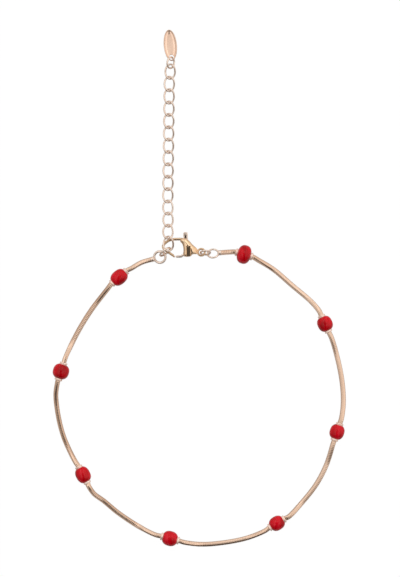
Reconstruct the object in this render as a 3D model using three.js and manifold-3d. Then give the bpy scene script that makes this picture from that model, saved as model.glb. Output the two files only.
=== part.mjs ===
// A beaded anklet laid out flat: a snake chain with eight enamel beads, a lobster clasp, and an extender of
// curb links that ends in a small oval tag. Millimetres, +Z up. Seen from above, the extender points along +Y.
import * as THREE from 'three';
import { mergeVertices } from 'three/addons/utils/BufferGeometryUtils.js';
import Module from 'manifold-3d';

const wasm = await Module();
wasm.setup();

// Snake chain
const CHAIN_DIAMETER = 1.36;
const CHAIN_SIDES = 8;
const CHAIN_STEPS = 150;
const CHAIN_DROP = 6; // over how much of its length the chain comes down from a bead to the surface
const LEVEL_PAST_BEAD = 0.5; // how far past a bead's rim the chain stays level
const LEFT_RING_WIRE = 0.6;
const LEFT_RING_DIAMETER = 3.46;
const RIGHT_RING_WIRE = 0.45;
const RIGHT_RING_DIAMETER = 3.15;
const SOLDER_DEPTH = 0.15; // how deep a ring's wire sits in the solder at the chain's end

// Beads
const BEAD_DIAMETER = 4;
const BEAD_LENGTH = 3.6;
const BEAD_SIDES = 14;
const BEAD_ROUNDNESS = 2.4; // exponent of the barrel's profile, 2 for an ellipse
const BEAD_ARC_STEPS = 8;
const CORE_WALL = 0.16;
const CORE_FLARE = 0.12;
const CORE_SIDES = 12;
const RIM_LENGTH = 0.55;
const THREADING_CLEARANCE = 0.14; // between the chain and a bead's bore
const ENAMEL_GAP = 0.06;

// Lobster clasp
const CLASP_LENGTH = 11.25;
const CLASP_THICKNESS = 2.7;
const CLASP_EDGE_ROUND = 0.3;
const CLAW_WIDTH = 0.72;
const CLAW_THICKNESS = 1.08;
const CLAW_TIP_TAPER = 0.82; // the claw's size at its tip, as a share of its size at the body
const CLAW_STEPS = 20;
const CLAW_SIDES = 8;
const EYE_DIAMETER = 2.2;
const EYE_HOLE = 1.2;
const EYE_THICKNESS = 0.84;
const BAND_DEPTH = 0.2;
const LEVER_THICKNESS = 0.9;
const SLOT_CLEARANCE = 0.11; // on each face of the lever
const GATE_GAP = 0.12; // between the gate's tip and the claw's
const PIN_DIAMETER = 0.8;
const PIN_CLEARANCE = 0.06;
const PIN_SIDES = 16;

// Jump rings
const CLASP_RING_WIRE = 0.45;
const CLASP_RING_DIAMETER = 2.85;
const CONNECTOR_WIRE = 0.5;
const CONNECTOR_DIAMETER = 3.5;
const TAG_RING_WIRE = 0.46;
const TAG_RING_DIAMETER = 3.2;
const WIRE_SIDES = 6;
const RING_STEPS = 16;

// Free play where two wires hook into each other
const LEFT_RING_PLAY = 0.083;
const FIRST_LINK_PLAY = 0.112;
const CLASP_EYE_PLAY = 0.2;
const RIGHT_RING_PLAY = 0.2;
const TAG_RING_PLAY = 0.14;

// Extender
const LINK_WIRE = 0.46;
const LINK_WIDTH = 2.88;
const LINK_PITCH = 3.09;
const LINK_CLEARANCE = 0.09;
const LINK_TWIST = 0.36; // how far a link's wire rises and dips on its way round
const LINK_STEPS = 16;

// Tag
const TAG_LENGTH = 7.95;
const TAG_WIDTH = 3.3;
const TAG_THICKNESS = 0.36;
const TAG_HOLE = 1.3;
const TAG_HOLE_EDGE = 0.27; // metal left between the hole and the tag's end
const TAG_BORDER = 0.34;
const TAG_BORDER_RISE = 0.14;
const TAG_SIDES = 32;

const FLOOR_CLEARANCE = 0.01;

// The chain's route seen from above, from near its right end by the clasp round to its left end
const ROUTE = [
  { x: 7.5, y: 9.1 },
  { x: 11.0, y: 8.5, bead: true },
  { x: 14.5, y: 7.1 },
  { x: 18.3, y: 4.8 },
  { x: 23.0, y: 0.8 },
  { x: 27.8, y: -3.3 },
  { x: 29.8, y: -5.7 },
  { x: 31.2, y: -8.8, bead: true },
  { x: 32.9, y: -12.5 },
  { x: 34.3, y: -17.2 },
  { x: 35.5, y: -23.3 },
  { x: 35.8, y: -28.6 },
  { x: 35.3, y: -32.5 },
  { x: 34.2, y: -35.8, bead: true },
  { x: 33.2, y: -38.8 },
  { x: 31.6, y: -44.0 },
  { x: 29.0, y: -49.0 },
  { x: 25.2, y: -53.8 },
  { x: 22.1, y: -57.0 },
  { x: 19.2, y: -58.6, bead: true },
  { x: 16.2, y: -60.5 },
  { x: 11.5, y: -62.4 },
  { x: 5.1, y: -63.6 },
  { x: 0.2, y: -63.9 },
  { x: -3.8, y: -63.4 },
  { x: -7.5, y: -62.4, bead: true },
  { x: -11.1, y: -61.5 },
  { x: -15.2, y: -59.5 },
  { x: -20.5, y: -56.0 },
  { x: -24.0, y: -53.1 },
  { x: -26.5, y: -51.2 },
  { x: -27.9, y: -49.1 },
  { x: -29.2, y: -46.5, bead: true },
  { x: -31.2, y: -43.1 },
  { x: -33.9, y: -37.5 },
  { x: -35.4, y: -31.9 },
  { x: -36.0, y: -26.6 },
  { x: -35.6, y: -23.6 },
  { x: -34.7, y: -20.7, bead: true },
  { x: -33.4, y: -16.8 },
  { x: -30.6, y: -11.0 },
  { x: -27.1, y: -5.3 },
  { x: -23.0, y: 0.0 },
  { x: -20.2, y: 2.8, bead: true },
  { x: -17.2, y: 5.0 },
  { x: -14.6, y: 6.5 },
  { x: -11.55, y: 7.4 },
];
const LEFT_END_HEADING = 16.6;
const RIGHT_END_HEADING = 6.5;

// Each bead's shares of the common diameter and length, in the route's order
const BEADS = [
  { diameter: 1.21, length: 0.92 },
  { diameter: 0.97, length: 1.0 },
  { diameter: 0.94, length: 0.98 },
  { diameter: 0.92, length: 0.98 },
  { diameter: 0.96, length: 1.0 },
  { diameter: 0.93, length: 1.06 },
  { diameter: 1.04, length: 1.0 },
  { diameter: 0.94, length: 1.12 },
];

// How the rings lie, in degrees: the level direction in a ring's plane, how far the plane rises from the surface,
// and the places on its wire where the rings before and after it hook in
const LEFT_RING = { heading: -64.3, tilt: 12.8, lift: 0.06, hook: 101.4 };
const CONNECTOR = { heading: 36.9, tilt: 72.1, ring: -121.1, link: 65.5 };
const CLASP_RING = { heading: 0, tilt: 66, aside: -0.1 };
const RIGHT_RING = { heading: 6.5, tilt: -40, turn: -6.4, lift: 0.42 };
const TAG_RING = { heading: 82, tilt: 52, link: -124.5, hook: 71 };

// Clasp outlines, as shares of the clasp's length from the centre of its eye
const CONNECTOR_IN_CLAW = [-0.803, 0.009];
const PIVOT = [-0.296, 0.051];
const CLAW_PATH = [
  [-0.433, 0.289], [-0.518, 0.291], [-0.673, 0.278], [-0.784, 0.22],
  [-0.847, 0.14], [-0.824, 0.064], [-0.709, -0.016], [-0.584, -0.1],
];
const BODY_OUTLINE = [
  [-0.451, 0.318], [-0.34, 0.304], [-0.262, 0.251], [-0.196, 0.171], [-0.084, 0.076],
  [-0.073, -0.042], [-0.196, -0.042], [-0.238, -0.096], [-0.373, -0.104], [-0.402, -0.049],
  [-0.393, 0.073], [-0.416, 0.184], [-0.473, 0.238],
];
const SLOT_OUTLINE = [
  [-0.416, 0.54], [-0.167, 0.54], [-0.167, 0.14], [-0.198, -0.216],
  [-0.74, -0.216], [-0.74, 0.14], [-0.416, 0.196],
];
const TAIL_SHARES = { start: -0.2, end: -0.07 };
const BAND_SHARES = { start: -0.333, end: -0.238 };
const LEVER_OUTLINE = [
  [-0.402, 0.42], [-0.384, 0.447], [-0.318, 0.447], [-0.3, 0.42], [-0.298, 0.284],
  [-0.251, 0.173], [-0.224, 0.078], [-0.238, 0.002], [-0.296, -0.036], [-0.371, -0.073],
  [-0.44, -0.122], [-0.56, -0.122], [-0.573, -0.098], [-0.564, -0.073],
  [-0.451, -0.067], [-0.38, -0.002], [-0.371, 0.096], [-0.393, 0.229],
];
const KNOB_SLOT = { x: -0.353, y: 0.347, width: 0.022, height: 0.055 };

// How the extender's links lie, in degrees. The first links climb to the connector: each has its height as a
// share of the first one's, and its level step from the link before as a share of the pitch.
const LINK_COUNT = 15;
const FIRST_LINK = { heading: -1.6, pitch: 4.7, roll: 8.1, hook: 240.8 };
const RAISED_LINKS = [
  { height: 0.812, step: 0.975, turn: 2.3, heading: 0.3, pitch: -12.8, roll: 1.4 },
  { height: 0.472, step: 0.979, turn: -0.5, heading: 1.2, pitch: -10, roll: 0.4 },
  { height: 0.153, step: 0.979, turn: 0.9, heading: 2.7, pitch: -11, roll: 0.7 },
  { height: 0.006, step: 0.995, turn: 0, heading: 0, pitch: 0, roll: 0 },
];
const LAST_LINK = { height: 0, step: 1, turn: -4, heading: -2, pitch: 0, roll: 0 };
const EXTENDER_TURN = -0.75; // degrees by which the flat links lean from the line across the loop
const TAG_TURN = 5.4;

const roseGold = new THREE.MeshStandardMaterial({ color: 0xd9b49a, roughness: 0.25, metalness: 1 });
const chainGold = new THREE.MeshStandardMaterial({ color: 0xd2b7a0, roughness: 0.3, metalness: 1 });
const yellowGold = new THREE.MeshStandardMaterial({ color: 0xd9b27c, roughness: 0.2, metalness: 1 });
const redEnamel = new THREE.MeshStandardMaterial({ color: 0xc0141f, roughness: 0.2, metalness: 0 });

const radians = THREE.MathUtils.degToRad;
const anklet = new THREE.Group();

function addPiece(name, geometry, material) {
  const piece = new THREE.Mesh(geometry, material);
  piece.name = name;
  anklet.add(piece);
  return piece;
}

function toSolid(geometry) {
  const bare = geometry.clone();
  bare.deleteAttribute('normal');
  bare.deleteAttribute('uv');
  const merged = mergeVertices(bare, 1e-4);
  return new wasm.Manifold(new wasm.Mesh({
    numProp: 3,
    vertProperties: Float32Array.from(merged.attributes.position.array),
    triVerts: Uint32Array.from(merged.index.array),
  }));
}

function toGeometry(solid) {
  const mesh = solid.getMesh();
  const geometry = new THREE.BufferGeometry();
  geometry.setAttribute('position', new THREE.BufferAttribute(mesh.vertProperties, 3));
  geometry.setIndex(new THREE.BufferAttribute(mesh.triVerts, 1));
  geometry.computeVertexNormals();
  return geometry;
}

const radius = (diameter, wire) => (diameter - wire) / 2;

// The offset from a ring's centre to the point at an angle round its plane. The plane holds the level direction
// "heading" and rises at right angles to it by "tilt".
function ringAxes(heading, tilt) {
  const along = new THREE.Vector3(Math.cos(radians(heading)), Math.sin(radians(heading)), 0);
  const rising = new THREE.Vector3(-along.y * Math.cos(radians(tilt)), along.x * Math.cos(radians(tilt)),
    Math.sin(radians(tilt)));
  return [along, rising, along.clone().cross(rising)];
}

function ringOffset(reach, { heading, tilt }, angle) {
  const [along, rising] = ringAxes(heading, tilt);
  return along.multiplyScalar(reach * Math.cos(radians(angle)))
    .addScaledVector(rising, reach * Math.sin(radians(angle)));
}

function restingHeight(diameter, wire, tilt) {
  return radius(diameter, wire) * Math.abs(Math.sin(radians(tilt))) + wire / 2 + FLOOR_CLEARANCE;
}

const level = (heading, length) => new THREE.Vector3(Math.cos(radians(heading)), Math.sin(radians(heading)), 0)
  .multiplyScalar(length);

// From the chain's left end: its ring, the connector, the clasp, and the two rings that lead back to the chain
const leftEnd = ROUTE[ROUTE.length - 1];
const leftRadius = radius(LEFT_RING_DIAMETER, LEFT_RING_WIRE);
const leftRingCentre = new THREE.Vector3(leftEnd.x, leftEnd.y, 0)
  .add(level(LEFT_END_HEADING, LEFT_RING_DIAMETER / 2 - SOLDER_DEPTH))
  .setZ(restingHeight(LEFT_RING_DIAMETER, LEFT_RING_WIRE, LEFT_RING.tilt) + LEFT_RING.lift);

const connectorRadius = radius(CONNECTOR_DIAMETER, CONNECTOR_WIRE);
const connectorCentre = leftRingCentre.clone()
  .add(ringOffset(leftRadius, LEFT_RING, LEFT_RING.hook))
  .sub(ringOffset(connectorRadius - (LEFT_RING_WIRE + CONNECTOR_WIRE) / 2 - LEFT_RING_PLAY, CONNECTOR,
    CONNECTOR.ring))
  .setZ(restingHeight(CONNECTOR_DIAMETER, CONNECTOR_WIRE, CONNECTOR.tilt));

const claspMiddle = CLASP_THICKNESS / 2;
const eye = new THREE.Vector3(connectorCentre.x - CONNECTOR_IN_CLAW[0] * CLASP_LENGTH,
  connectorCentre.y - CONNECTOR_IN_CLAW[1] * CLASP_LENGTH, claspMiddle);

const claspRingRadius = radius(CLASP_RING_DIAMETER, CLASP_RING_WIRE);
const claspRingCentre = new THREE.Vector3(
  eye.x - EYE_HOLE / 2 + CLASP_RING_WIRE / 2 + CLASP_EYE_PLAY + claspRingRadius,
  eye.y + CLASP_RING.aside,
  Math.max(claspMiddle, restingHeight(CLASP_RING_DIAMETER, CLASP_RING_WIRE, CLASP_RING.tilt)));

const rightRadius = radius(RIGHT_RING_DIAMETER, RIGHT_RING_WIRE);
const rightRingCentre = claspRingCentre.clone()
  .add(level(RIGHT_RING.turn, claspRingRadius + rightRadius - (CLASP_RING_WIRE + RIGHT_RING_WIRE) / 2
    - RIGHT_RING_PLAY))
  .setZ(restingHeight(RIGHT_RING_DIAMETER, RIGHT_RING_WIRE, RIGHT_RING.tilt) + RIGHT_RING.lift);
const rightEnd = rightRingCentre.clone()
  .add(level(RIGHT_END_HEADING, RIGHT_RING_DIAMETER / 2 - SOLDER_DEPTH));

// The chain's axis in space: the route seen from above, straight through each bead, and lifted to its middle
const STEPS_PER_POINT = 40;
const beads = [];
const routePoints = [new THREE.Vector3(rightEnd.x, rightEnd.y, 0)];
ROUTE.forEach(({ x, y, bead }, index) => {
  const point = new THREE.Vector3(x, y, 0);
  if (!bead) {
    routePoints.push(point);
    return;
  }
  const shares = BEADS[beads.length];
  const size = { radius: BEAD_DIAMETER / 2 * shares.diameter, length: BEAD_LENGTH * shares.length };
  const axis = new THREE.Vector3(ROUTE[index + 1].x - ROUTE[index - 1].x, ROUTE[index + 1].y - ROUTE[index - 1].y, 0)
    .normalize()
    .multiplyScalar(size.length / 2 + RIM_LENGTH);
  beads.push({ ...size, place: STEPS_PER_POINT * (routePoints.length + 1) });
  routePoints.push(point.clone().sub(axis), point, point.clone().add(axis));
});
const plan = new THREE.CatmullRomCurve3(routePoints, false, 'centripetal');
plan.arcLengthDivisions = STEPS_PER_POINT * (routePoints.length - 1);
const planLengths = plan.getLengths();
const planLength = plan.getLength();
for (const bead of beads) bead.place = planLengths[bead.place];

// The chain lies on the surface, and comes up to each bead's middle and to the ring at its right end
function chainHeight(place) {
  const low = CHAIN_DIAMETER / 2;
  const gapToFirst = beads[0].place - beads[0].length / 2 - RIM_LENGTH - LEVEL_PAST_BEAD;
  const endDrop = Math.min(CHAIN_DROP, gapToFirst);
  if (place < endDrop) {
    const share = THREE.MathUtils.smoothstep(place, 0, endDrop);
    return rightEnd.z + (beads[0].radius - rightEnd.z) * share;
  }
  let height = low;
  for (const bead of beads) {
    const away = Math.abs(place - bead.place) - bead.length / 2 - RIM_LENGTH - LEVEL_PAST_BEAD;
    const share = 1 - THREE.MathUtils.smoothstep(away, 0, CHAIN_DROP);
    height = Math.max(height, low + (bead.radius - low) * share);
  }
  return height;
}

class ChainPath extends THREE.Curve {
  getPoint(t, target = new THREE.Vector3()) {
    plan.getPointAt(t, target);
    target.z = chainHeight(t * planLength);
    return target;
  }
}
const chainPath = new ChainPath();
chainPath.arcLengthDivisions = 800;

function polygonShape(radius, sides) {
  const shape = new THREE.Shape();
  for (let side = 0; side < sides; side += 1) {
    const angle = 2 * Math.PI * (side + 0.5) / sides;
    const point = [radius * Math.cos(angle), radius * Math.sin(angle)];
    if (side === 0) shape.moveTo(...point);
    else shape.lineTo(...point);
  }
  shape.closePath();
  return shape;
}

function ringGeometry(diameter, wire) {
  return new THREE.TorusGeometry((diameter - wire) / 2, wire / 2, WIRE_SIDES, RING_STEPS);
}

function ringPlacement(centre, { heading, tilt }) {
  return new THREE.Matrix4().makeBasis(...ringAxes(heading, tilt)).setPosition(centre);
}

function addRing(name, diameter, wire, centre, lie) {
  const piece = addPiece(name, ringGeometry(diameter, wire), roseGold);
  ringPlacement(centre, lie).decompose(piece.position, piece.quaternion, piece.scale);
}

// The chain with the rings soldered to its two ends
function makeChain() {
  const tube = new THREE.ExtrudeGeometry(polygonShape(CHAIN_DIAMETER / 2, CHAIN_SIDES), {
    steps: CHAIN_STEPS,
    bevelEnabled: false,
    extrudePath: chainPath,
  });
  const right = ringGeometry(RIGHT_RING_DIAMETER, RIGHT_RING_WIRE)
    .applyMatrix4(ringPlacement(rightRingCentre, RIGHT_RING));
  const left = ringGeometry(LEFT_RING_DIAMETER, LEFT_RING_WIRE)
    .applyMatrix4(ringPlacement(leftRingCentre, LEFT_RING));
  addPiece('snake_chain', toGeometry(toSolid(tube).add(toSolid(right)).add(toSolid(left))), chainGold);
}

// A bead is a metal spool with a flared rim at each end, and an enamel barrel round it. Both are turned about
// the chain's axis.
const boreRadius = CHAIN_DIAMETER / 2 + THREADING_CLEARANCE;
const coreBore = boreRadius / Math.cos(Math.PI / CORE_SIDES);
const coreRadius = coreBore + CORE_WALL;
const enamelBore = (coreRadius + ENAMEL_GAP) / Math.cos(Math.PI / BEAD_SIDES);

function coreGeometry(length) {
  const half = length / 2 + RIM_LENGTH;
  const neck = length / 2 + RIM_LENGTH * 0.25;
  const profile = [
    [coreBore, -half], [coreRadius + CORE_FLARE, -half], [coreRadius, -neck],
    [coreRadius, neck], [coreRadius + CORE_FLARE, half], [coreBore, half], [coreBore, -half],
  ].map(([radius, height]) => new THREE.Vector2(radius, height));
  return new THREE.LatheGeometry(profile, CORE_SIDES);
}

function enamelGeometry(radius, length) {
  const cornerHeight = (share) => (1 - share ** BEAD_ROUNDNESS) ** (1 / BEAD_ROUNDNESS);
  const boreShare = enamelBore / radius;
  const reach = length / 2 / cornerHeight(boreShare);
  const profile = [];
  for (let step = 0; step <= BEAD_ARC_STEPS; step += 1) {
    const height = length * (step / BEAD_ARC_STEPS - 0.5);
    const fullness = cornerHeight(Math.abs(height) / reach);
    profile.push(new THREE.Vector2(radius * fullness, height));
  }
  profile.push(profile[0].clone());
  return new THREE.LatheGeometry(profile, BEAD_SIDES);
}

function makeBeads() {
  beads.forEach((bead, index) => {
    const share = bead.place / planLength;
    const axis = plan.getTangentAt(share);
    const centre = plan.getPointAt(share).setZ(bead.radius);
    const turn = new THREE.Quaternion().setFromUnitVectors(new THREE.Vector3(0, 1, 0), axis);
    const core = addPiece(`bead_core_${index + 1}`, coreGeometry(bead.length), roseGold);
    const enamel = addPiece(`bead_enamel_${index + 1}`, enamelGeometry(bead.radius, bead.length), redEnamel);
    for (const piece of [core, enamel]) {
      piece.position.copy(centre);
      piece.quaternion.copy(turn);
    }
  });
}

// The clasp lies with its plane level and its flat underside on the surface
const claspPoint = ([x, y]) => new THREE.Vector2(eye.x + x * CLASP_LENGTH, eye.y + y * CLASP_LENGTH);
const pivot = claspPoint(PIVOT);
const pinHoleRadius = (PIN_DIAMETER / 2 + PIN_CLEARANCE) / Math.cos(Math.PI / PIN_SIDES);

function claspPlate(outline, thickness, round = 0) {
  const plate = new THREE.ExtrudeGeometry(new THREE.Shape(outline), {
    depth: thickness - 2 * round,
    bevelEnabled: round > 0,
    bevelThickness: round,
    bevelSize: round,
    bevelOffset: -round,
    bevelSegments: 2,
  });
  return plate.translate(0, 0, claspMiddle - thickness / 2 + round);
}

function claspDrum(radius, thickness) {
  const drum = new THREE.CylinderGeometry(radius, radius, thickness, PIN_SIDES);
  return drum.rotateX(Math.PI / 2).translate(pivot.x, pivot.y, claspMiddle);
}

function claspBox(start, end, low, high) {
  const width = (end - start) * CLASP_LENGTH;
  const box = new THREE.BoxGeometry(width, 2 * CLASP_LENGTH, high - low);
  return box.translate(eye.x + start * CLASP_LENGTH + width / 2, eye.y, (low + high) / 2);
}

// The claw: an oval section carried along its path and slimmer towards the tip
function clawGeometry() {
  const path = new THREE.CatmullRomCurve3(CLAW_PATH.map((shares) => {
    const point = claspPoint(shares);
    return new THREE.Vector3(point.x, point.y, claspMiddle);
  }), false, 'centripetal');
  const positions = [];
  for (let step = 0; step <= CLAW_STEPS; step += 1) {
    const share = step / CLAW_STEPS;
    const size = 1 + (CLAW_TIP_TAPER - 1) * share;
    const centre = path.getPointAt(share);
    const tangent = path.getTangentAt(share);
    const across = new THREE.Vector3(-tangent.y, tangent.x, 0);
    for (let side = 0; side < CLAW_SIDES; side += 1) {
      const angle = 2 * Math.PI * (side + 0.5) / CLAW_SIDES;
      const corner = centre.clone().addScaledVector(across, size * CLAW_WIDTH / 2 * Math.cos(angle));
      corner.z += size * CLAW_THICKNESS / 2 * Math.sin(angle);
      positions.push(...corner);
    }
  }
  const faces = [];
  for (let step = 0; step < CLAW_STEPS; step += 1) {
    for (let side = 0; side < CLAW_SIDES; side += 1) {
      const a = step * CLAW_SIDES + side;
      const b = step * CLAW_SIDES + (side + 1) % CLAW_SIDES;
      faces.push(a, b, a + CLAW_SIDES, b, b + CLAW_SIDES, a + CLAW_SIDES);
    }
  }
  const last = CLAW_STEPS * CLAW_SIDES;
  for (let side = 1; side < CLAW_SIDES - 1; side += 1) {
    faces.push(0, side + 1, side);
    faces.push(last, last + side, last + side + 1);
  }
  const claw = new THREE.BufferGeometry();
  claw.setAttribute('position', new THREE.Float32BufferAttribute(positions, 3));
  claw.setIndex(faces);
  return claw;
}

// The tail narrows in height from the body to the eye
function tailProfile() {
  const far = -CLASP_LENGTH;
  const start = TAIL_SHARES.start * CLASP_LENGTH;
  const end = TAIL_SHARES.end * CLASP_LENGTH;
  const full = CLASP_THICKNESS / 2 + 1;
  const low = EYE_THICKNESS / 2;
  const shape = new THREE.Shape([
    [far, -full], [start - (full - CLASP_THICKNESS / 2), -full], [end, -low], [EYE_DIAMETER, -low],
    [EYE_DIAMETER, low], [end, low], [start - (full - CLASP_THICKNESS / 2), full], [far, full],
  ].map(([x, y]) => new THREE.Vector2(x, y)));
  const wedge = new THREE.ExtrudeGeometry(shape, { depth: 2 * CLASP_LENGTH, bevelEnabled: false });
  return wedge.translate(0, 0, -CLASP_LENGTH).rotateX(Math.PI / 2).translate(eye.x, eye.y, claspMiddle);
}

function makeClaspBody() {
  const slotThickness = LEVER_THICKNESS + 2 * SLOT_CLEARANCE;
  const gateReach = Math.max(...LEVER_OUTLINE.filter(([, y]) => y < 0)
    .map((shares) => claspPoint(shares).distanceTo(pivot)));
  const eyeWire = (EYE_DIAMETER - EYE_HOLE) / 2;
  const eyeRing = new THREE.TorusGeometry((EYE_DIAMETER + EYE_HOLE) / 4, eyeWire / 2, 8, RING_STEPS)
    .scale(1, 1, EYE_THICKNESS / eyeWire)
    .translate(eye.x, eye.y, claspMiddle);
  const cheeks = toSolid(claspPlate(BODY_OUTLINE.map(claspPoint), CLASP_THICKNESS, CLASP_EDGE_ROUND))
    .intersect(toSolid(tailProfile()))
    .subtract(toSolid(claspPlate(SLOT_OUTLINE.map(claspPoint), slotThickness)))
    .subtract(toSolid(claspDrum(pinHoleRadius, 2 * CLASP_THICKNESS)))
    .subtract(toSolid(claspBox(BAND_SHARES.start, BAND_SHARES.end,
      CLASP_THICKNESS - BAND_DEPTH, 2 * CLASP_THICKNESS)));
  const gateSweep = toSolid(claspDrum(gateReach + GATE_GAP, 2 * CLASP_THICKNESS))
    .trimByPlane([0, -1, 0], -pivot.y);
  const claw = toSolid(clawGeometry()).subtract(gateSweep);
  const eyeHole = new THREE.CylinderGeometry(EYE_HOLE / 2, EYE_HOLE / 2, 2 * CLASP_THICKNESS, RING_STEPS)
    .rotateX(Math.PI / 2)
    .translate(eye.x, eye.y, claspMiddle);
  const body = cheeks.add(claw).subtract(toSolid(eyeHole)).add(toSolid(eyeRing));
  addPiece('clasp_body', toGeometry(body), yellowGold);
}

function makeClaspLever() {
  const centre = claspPoint([KNOB_SLOT.x, KNOB_SLOT.y]);
  const slot = new THREE.BoxGeometry(KNOB_SLOT.width * CLASP_LENGTH, KNOB_SLOT.height * CLASP_LENGTH,
    2 * LEVER_THICKNESS).translate(centre.x, centre.y, claspMiddle);
  const lever = toSolid(claspPlate(LEVER_OUTLINE.map(claspPoint), LEVER_THICKNESS))
    .subtract(toSolid(claspDrum(pinHoleRadius, 2 * LEVER_THICKNESS)))
    .subtract(toSolid(slot));
  addPiece('clasp_lever', toGeometry(lever), yellowGold);
}

function makeClaspPin() {
  const length = CLASP_THICKNESS - BAND_DEPTH;
  const pin = claspDrum(PIN_DIAMETER / 2, length).translate(0, 0, -BAND_DEPTH / 2);
  addPiece('clasp_pin', pin, yellowGold);
}

// A curb link: an oval of wire, twisted so that its sides pass over and under those of its neighbours
class CurbPath extends THREE.Curve {
  getPoint(t, target = new THREE.Vector3()) {
    const angle = 2 * Math.PI * t;
    const width = LINK_WIDTH - LINK_WIRE;
    const length = LINK_PITCH + LINK_WIRE + LINK_CLEARANCE;
    return target.set(width / 2 * Math.cos(angle), length / 2 * Math.sin(angle), LINK_TWIST * Math.sin(2 * angle));
  }
}

function linkTurn({ heading, pitch, roll }) {
  return new THREE.Euler(radians(pitch), radians(-roll), radians(heading), 'ZXY');
}

const flat = { height: 0, step: 1, turn: EXTENDER_TURN, heading: EXTENDER_TURN, pitch: 0, roll: 0 };
const flatLinkHeight = LINK_TWIST + LINK_WIRE / 2 + FLOOR_CLEARANCE;

function extenderLinks() {
  const hookReach = connectorRadius - (CONNECTOR_WIRE + LINK_WIRE) / 2 - FIRST_LINK_PLAY;
  const centre = connectorCentre.clone()
    .add(ringOffset(hookReach, CONNECTOR, CONNECTOR.link))
    .sub(new CurbPath().getPoint(FIRST_LINK.hook / 360).applyEuler(linkTurn(FIRST_LINK)));
  const climb = centre.z - flatLinkHeight;
  const links = [{ ...FIRST_LINK, centre: centre.clone() }];
  for (let index = 1; index < LINK_COUNT; index += 1) {
    const lie = index === LINK_COUNT - 1 ? LAST_LINK : RAISED_LINKS[index - 1] ?? flat;
    centre.add(level(90 + lie.turn, lie.step * LINK_PITCH)).setZ(flatLinkHeight + lie.height * climb);
    links.push({ ...lie, centre: centre.clone() });
  }
  return links;
}

const links = extenderLinks();

function makeExtender() {
  links.forEach((link, index) => {
    const geometry = new THREE.TubeGeometry(new CurbPath(), LINK_STEPS, LINK_WIRE / 2, WIRE_SIDES, true);
    const number = String(LINK_COUNT - index).padStart(2, '0');
    const piece = addPiece(`link_${number}`, geometry, roseGold);
    piece.position.copy(link.centre);
    piece.rotation.copy(linkTurn(link));
  });
}

// The tag hangs from the last link by a ring that leans between them, so its drilled end is held up
function makeTag() {
  const ringRadius = radius(TAG_RING_DIAMETER, TAG_RING_WIRE);
  const ringCentre = links[links.length - 1].centre.clone()
    .add(new CurbPath().getPoint(TAG_RING.hook / 360).applyEuler(linkTurn(LAST_LINK)))
    .sub(ringOffset(ringRadius - (LINK_WIRE + TAG_RING_WIRE) / 2 - TAG_RING_PLAY, TAG_RING, TAG_RING.link))
    .setZ(restingHeight(TAG_RING_DIAMETER, TAG_RING_WIRE, TAG_RING.tilt));
  addRing('jump_ring_tag', TAG_RING_DIAMETER, TAG_RING_WIRE, ringCentre, TAG_RING);

  const holeToEnd = TAG_HOLE / 2 + TAG_HOLE_EDGE;
  const middle = TAG_LENGTH / 2 - holeToEnd;
  const ellipse = (inset) => {
    const outline = new THREE.EllipseCurve(0, middle, TAG_WIDTH / 2 - inset, TAG_LENGTH / 2 - inset);
    return outline.getPoints(TAG_SIDES).slice(0, TAG_SIDES);
  };
  const extrude = (shape, low, high) => toSolid(
    new THREE.ExtrudeGeometry(shape, { depth: high - low, bevelEnabled: false }).translate(0, 0, low));
  const plate = extrude(new THREE.Shape(ellipse(0)), -TAG_THICKNESS / 2, TAG_THICKNESS / 2);
  const panel = extrude(new THREE.Shape(ellipse(TAG_BORDER)), 0, TAG_THICKNESS);
  const border = extrude(new THREE.Shape(ellipse(0)), 0, TAG_THICKNESS / 2 + TAG_BORDER_RISE).subtract(panel);
  const hole = new THREE.CylinderGeometry(TAG_HOLE / 2, TAG_HOLE / 2, 4 * TAG_THICKNESS, PIN_SIDES)
    .rotateX(Math.PI / 2);
  const tag = addPiece('tag', toGeometry(plate.add(border).subtract(toSolid(hole))), roseGold);
  const fall = Math.asin((ringCentre.z - TAG_THICKNESS / 2 - FLOOR_CLEARANCE) / (TAG_LENGTH - holeToEnd));
  tag.position.copy(ringCentre).add(ringOffset(ringRadius, TAG_RING, 0));
  tag.rotation.set(-fall, 0, radians(TAG_TURN), 'ZXY');
}

makeChain();
makeBeads();
makeClaspBody();
makeClaspLever();
makeClaspPin();
addRing('jump_ring_clasp', CLASP_RING_DIAMETER, CLASP_RING_WIRE, claspRingCentre, CLASP_RING);
addRing('jump_ring_connector', CONNECTOR_DIAMETER, CONNECTOR_WIRE, connectorCentre, CONNECTOR);
makeExtender();
makeTag();

// The origin is at the middle of the anklet's outline, on the surface it lies on
anklet.updateMatrixWorld(true);
const bounds = new THREE.Box3().setFromObject(anklet, true);
const centre = bounds.getCenter(new THREE.Vector3());
anklet.position.set(-centre.x, -centre.y, -bounds.min.z);

export default anklet;
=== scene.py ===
import math

import bmesh
import bpy
import numpy as np
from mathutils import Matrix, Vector
from mathutils.geometry import delaunay_2d_cdt


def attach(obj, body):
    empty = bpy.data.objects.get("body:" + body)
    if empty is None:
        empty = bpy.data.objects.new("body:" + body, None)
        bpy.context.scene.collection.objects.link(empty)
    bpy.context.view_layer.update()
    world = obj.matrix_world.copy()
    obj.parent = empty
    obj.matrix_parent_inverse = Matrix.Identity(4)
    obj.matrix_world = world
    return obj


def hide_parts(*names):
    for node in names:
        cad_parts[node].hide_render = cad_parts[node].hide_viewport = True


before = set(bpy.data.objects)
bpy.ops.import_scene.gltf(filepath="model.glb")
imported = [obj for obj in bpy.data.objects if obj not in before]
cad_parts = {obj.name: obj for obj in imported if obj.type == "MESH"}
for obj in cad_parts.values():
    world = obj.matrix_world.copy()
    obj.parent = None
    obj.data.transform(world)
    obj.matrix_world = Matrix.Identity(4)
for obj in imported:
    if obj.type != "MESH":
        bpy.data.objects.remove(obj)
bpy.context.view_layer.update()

BODY = "anklet"
TRIGGER = "trigger"
MM = 0.001
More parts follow.
